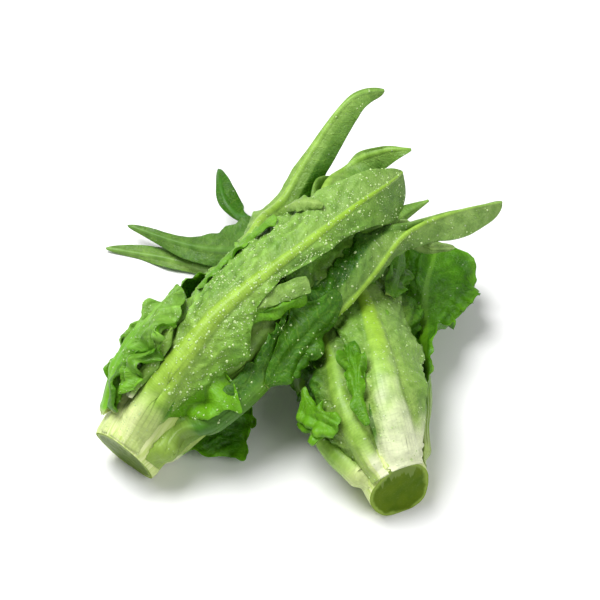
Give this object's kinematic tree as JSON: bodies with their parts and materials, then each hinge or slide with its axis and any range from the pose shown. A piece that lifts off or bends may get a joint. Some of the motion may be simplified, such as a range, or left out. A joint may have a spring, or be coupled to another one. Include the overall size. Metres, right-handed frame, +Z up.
{
  "type": "a-choy bunch",
  "caption": "Bunch of a-choy: pale cut stems with long ruffled lettuce leaves, the heads lying crossed with their tips spread.",
  "frame": {"origin": "on the table, under the middle of the bunch's box", "axes": "+Z up from the table; +Y away from the cut stems, towards the tips of the leaves; +X to the right as seen from the stem ends"},
  "size_m": [0.2444, 0.2577, 0.1247],
  "materials": {
    "stem": "moist, slightly glossy",
    "outer_leaf": "waxy, satin",
    "inner_leaf": "satin"
  },
  "bodies": {
    "root": {"upper_stem": "stem", "upper_leaf_front": "outer_leaf", "upper_leaf_right": "outer_leaf", "upper_leaf_flank": "outer_leaf", "upper_leaf_under": "outer_leaf", "upper_leaf_behind": "outer_leaf", "upper_leaf_left": "outer_leaf", "upper_leaf_far": "outer_leaf", "upper_leaf_tail": "outer_leaf", "upper_leaf_back": "outer_leaf", "upper_leaf_belly": "outer_leaf", "upper_leaf_heart_left": "outer_leaf", "upper_leaf_heart_right": "outer_leaf", "lower_stem": "stem", "lower_leaf_front": "outer_leaf", "lower_leaf_left": "outer_leaf", "lower_leaf_ruffled": "outer_leaf", "lower_leaf_right": "inner_leaf", "lower_leaf_crook": "outer_leaf", "lower_leaf_side": "outer_leaf", "lower_leaf_belly": "outer_leaf", "lower_leaf_long_low": "outer_leaf", "lower_leaf_long_high": "outer_leaf", "lower_leaf_back_tip": "outer_leaf", "lower_leaf_heart": "inner_leaf"}
  },
  "joints": []
}
